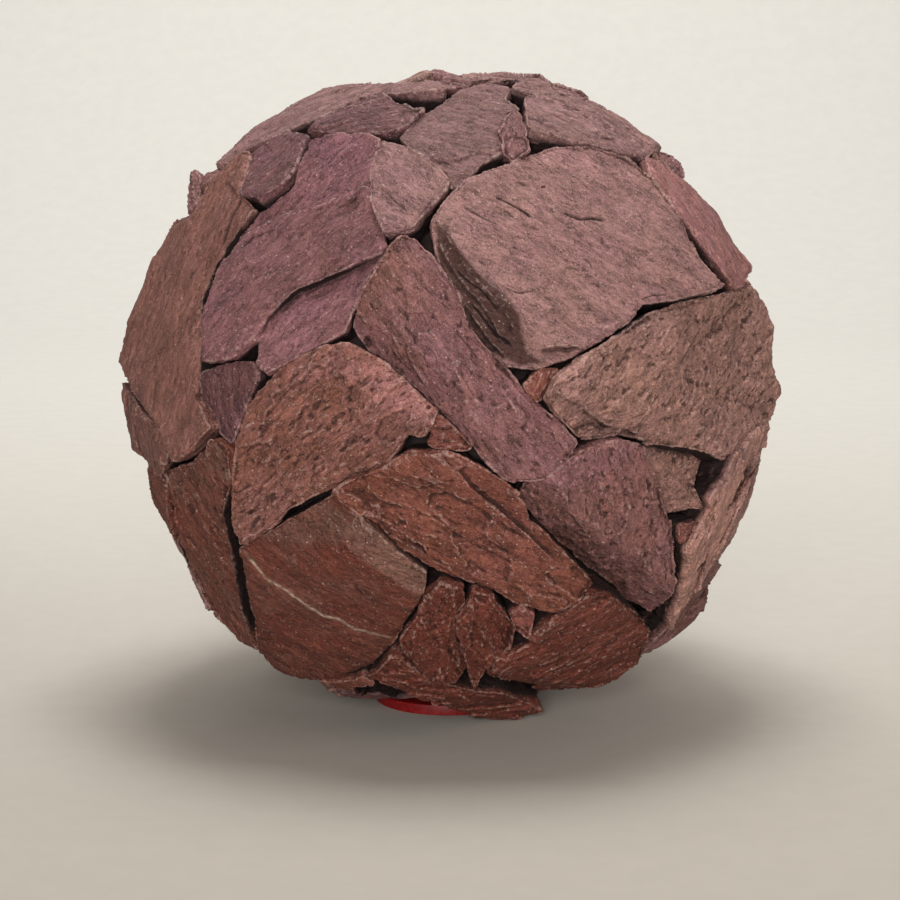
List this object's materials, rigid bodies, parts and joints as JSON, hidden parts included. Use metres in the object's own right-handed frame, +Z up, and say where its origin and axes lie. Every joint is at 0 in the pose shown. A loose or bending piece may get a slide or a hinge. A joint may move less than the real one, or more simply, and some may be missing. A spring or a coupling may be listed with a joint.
{
  "type": "ball faced with slate slabs",
  "caption": "Garden ball faced all round with broken red and plum slate slabs on a mortar core, standing on a low round pad.",
  "frame": {"origin": "middle of the pad's underside, on the surface the ball stands on", "axes": "+Z up; -Y towards the side that the picture shows, +X to its right"},
  "size_m": [0.5073, 0.4882, 0.4908],
  "materials": {
    "slate_rose": "matte",
    "slate_plum": "matte",
    "slate_brown": "matte",
    "slate_russet": "matte",
    "slate_red": "matte",
    "slate_dark": "matte",
    "slate_mauve": "matte",
    "slate_tan": "matte",
    "mortar": "matte",
    "red_pad": "matte"
  },
  "bodies": {
    "root": {"great_slab": "slate_rose", "long_bar": "slate_mauve", "right_slab": "slate_tan", "ridge_slab": "slate_mauve", "layered_slab": "slate_red", "russet_slab": "slate_russet", "veined_slab": "slate_dark", "plum_slab": "slate_plum", "left_slab": "slate_brown", "left_tall_slab": "slate_dark", "pale_right_slab": "slate_tan", "bottom_right_slab": "slate_dark", "upper_slab": "slate_rose", "upper_right_slab": "slate_rose", "top_left_slab": "slate_rose", "shield_slab": "slate_rose", "dark_wedge": "slate_plum", "brow_slab": "slate_plum", "right_strap_slab": "slate_mauve", "rough_top_slab": "slate_plum", "left_low_slab": "slate_brown", "keel_left_slab": "slate_dark", "keel_right_slab": "slate_dark", "crown_slab": "slate_rose", "crown_end": "slate_plum", "wedge_chip": "slate_mauve", "right_shoulder_chip": "slate_mauve", "small_chip": "slate_red", "bottom_strip_slab": "slate_dark", "under_lip_slab": "slate_red", "centre_chip": "slate_red", "right_chip": "slate_red", "right_under_slab": "slate_brown", "left_under_slab": "slate_dark", "left_spike": "slate_mauve", "left_shoulder_chip": "slate_brown", "right_ledge_chip": "slate_red", "back_slab_01": "slate_rose", "back_slab_02": "slate_plum", "back_slab_03": "slate_brown", "back_slab_04": "slate_mauve", "back_slab_05": "slate_russet", "back_slab_06": "slate_tan", "back_slab_07": "slate_rose", "back_slab_08": "slate_red", "back_slab_09": "slate_mauve", "back_slab_10": "slate_dark", "back_slab_11": "slate_plum", "back_slab_12": "slate_rose", "back_slab_13": "slate_plum", "back_slab_14": "slate_brown", "back_slab_15": "slate_mauve", "back_slab_16": "slate_russet", "back_slab_17": "slate_tan", "back_slab_18": "slate_rose", "back_slab_19": "slate_red", "back_slab_20": "slate_mauve", "back_slab_21": "slate_dark", "mortar_core": "mortar", "base_pad": "red_pad"}
  },
  "joints": []
}
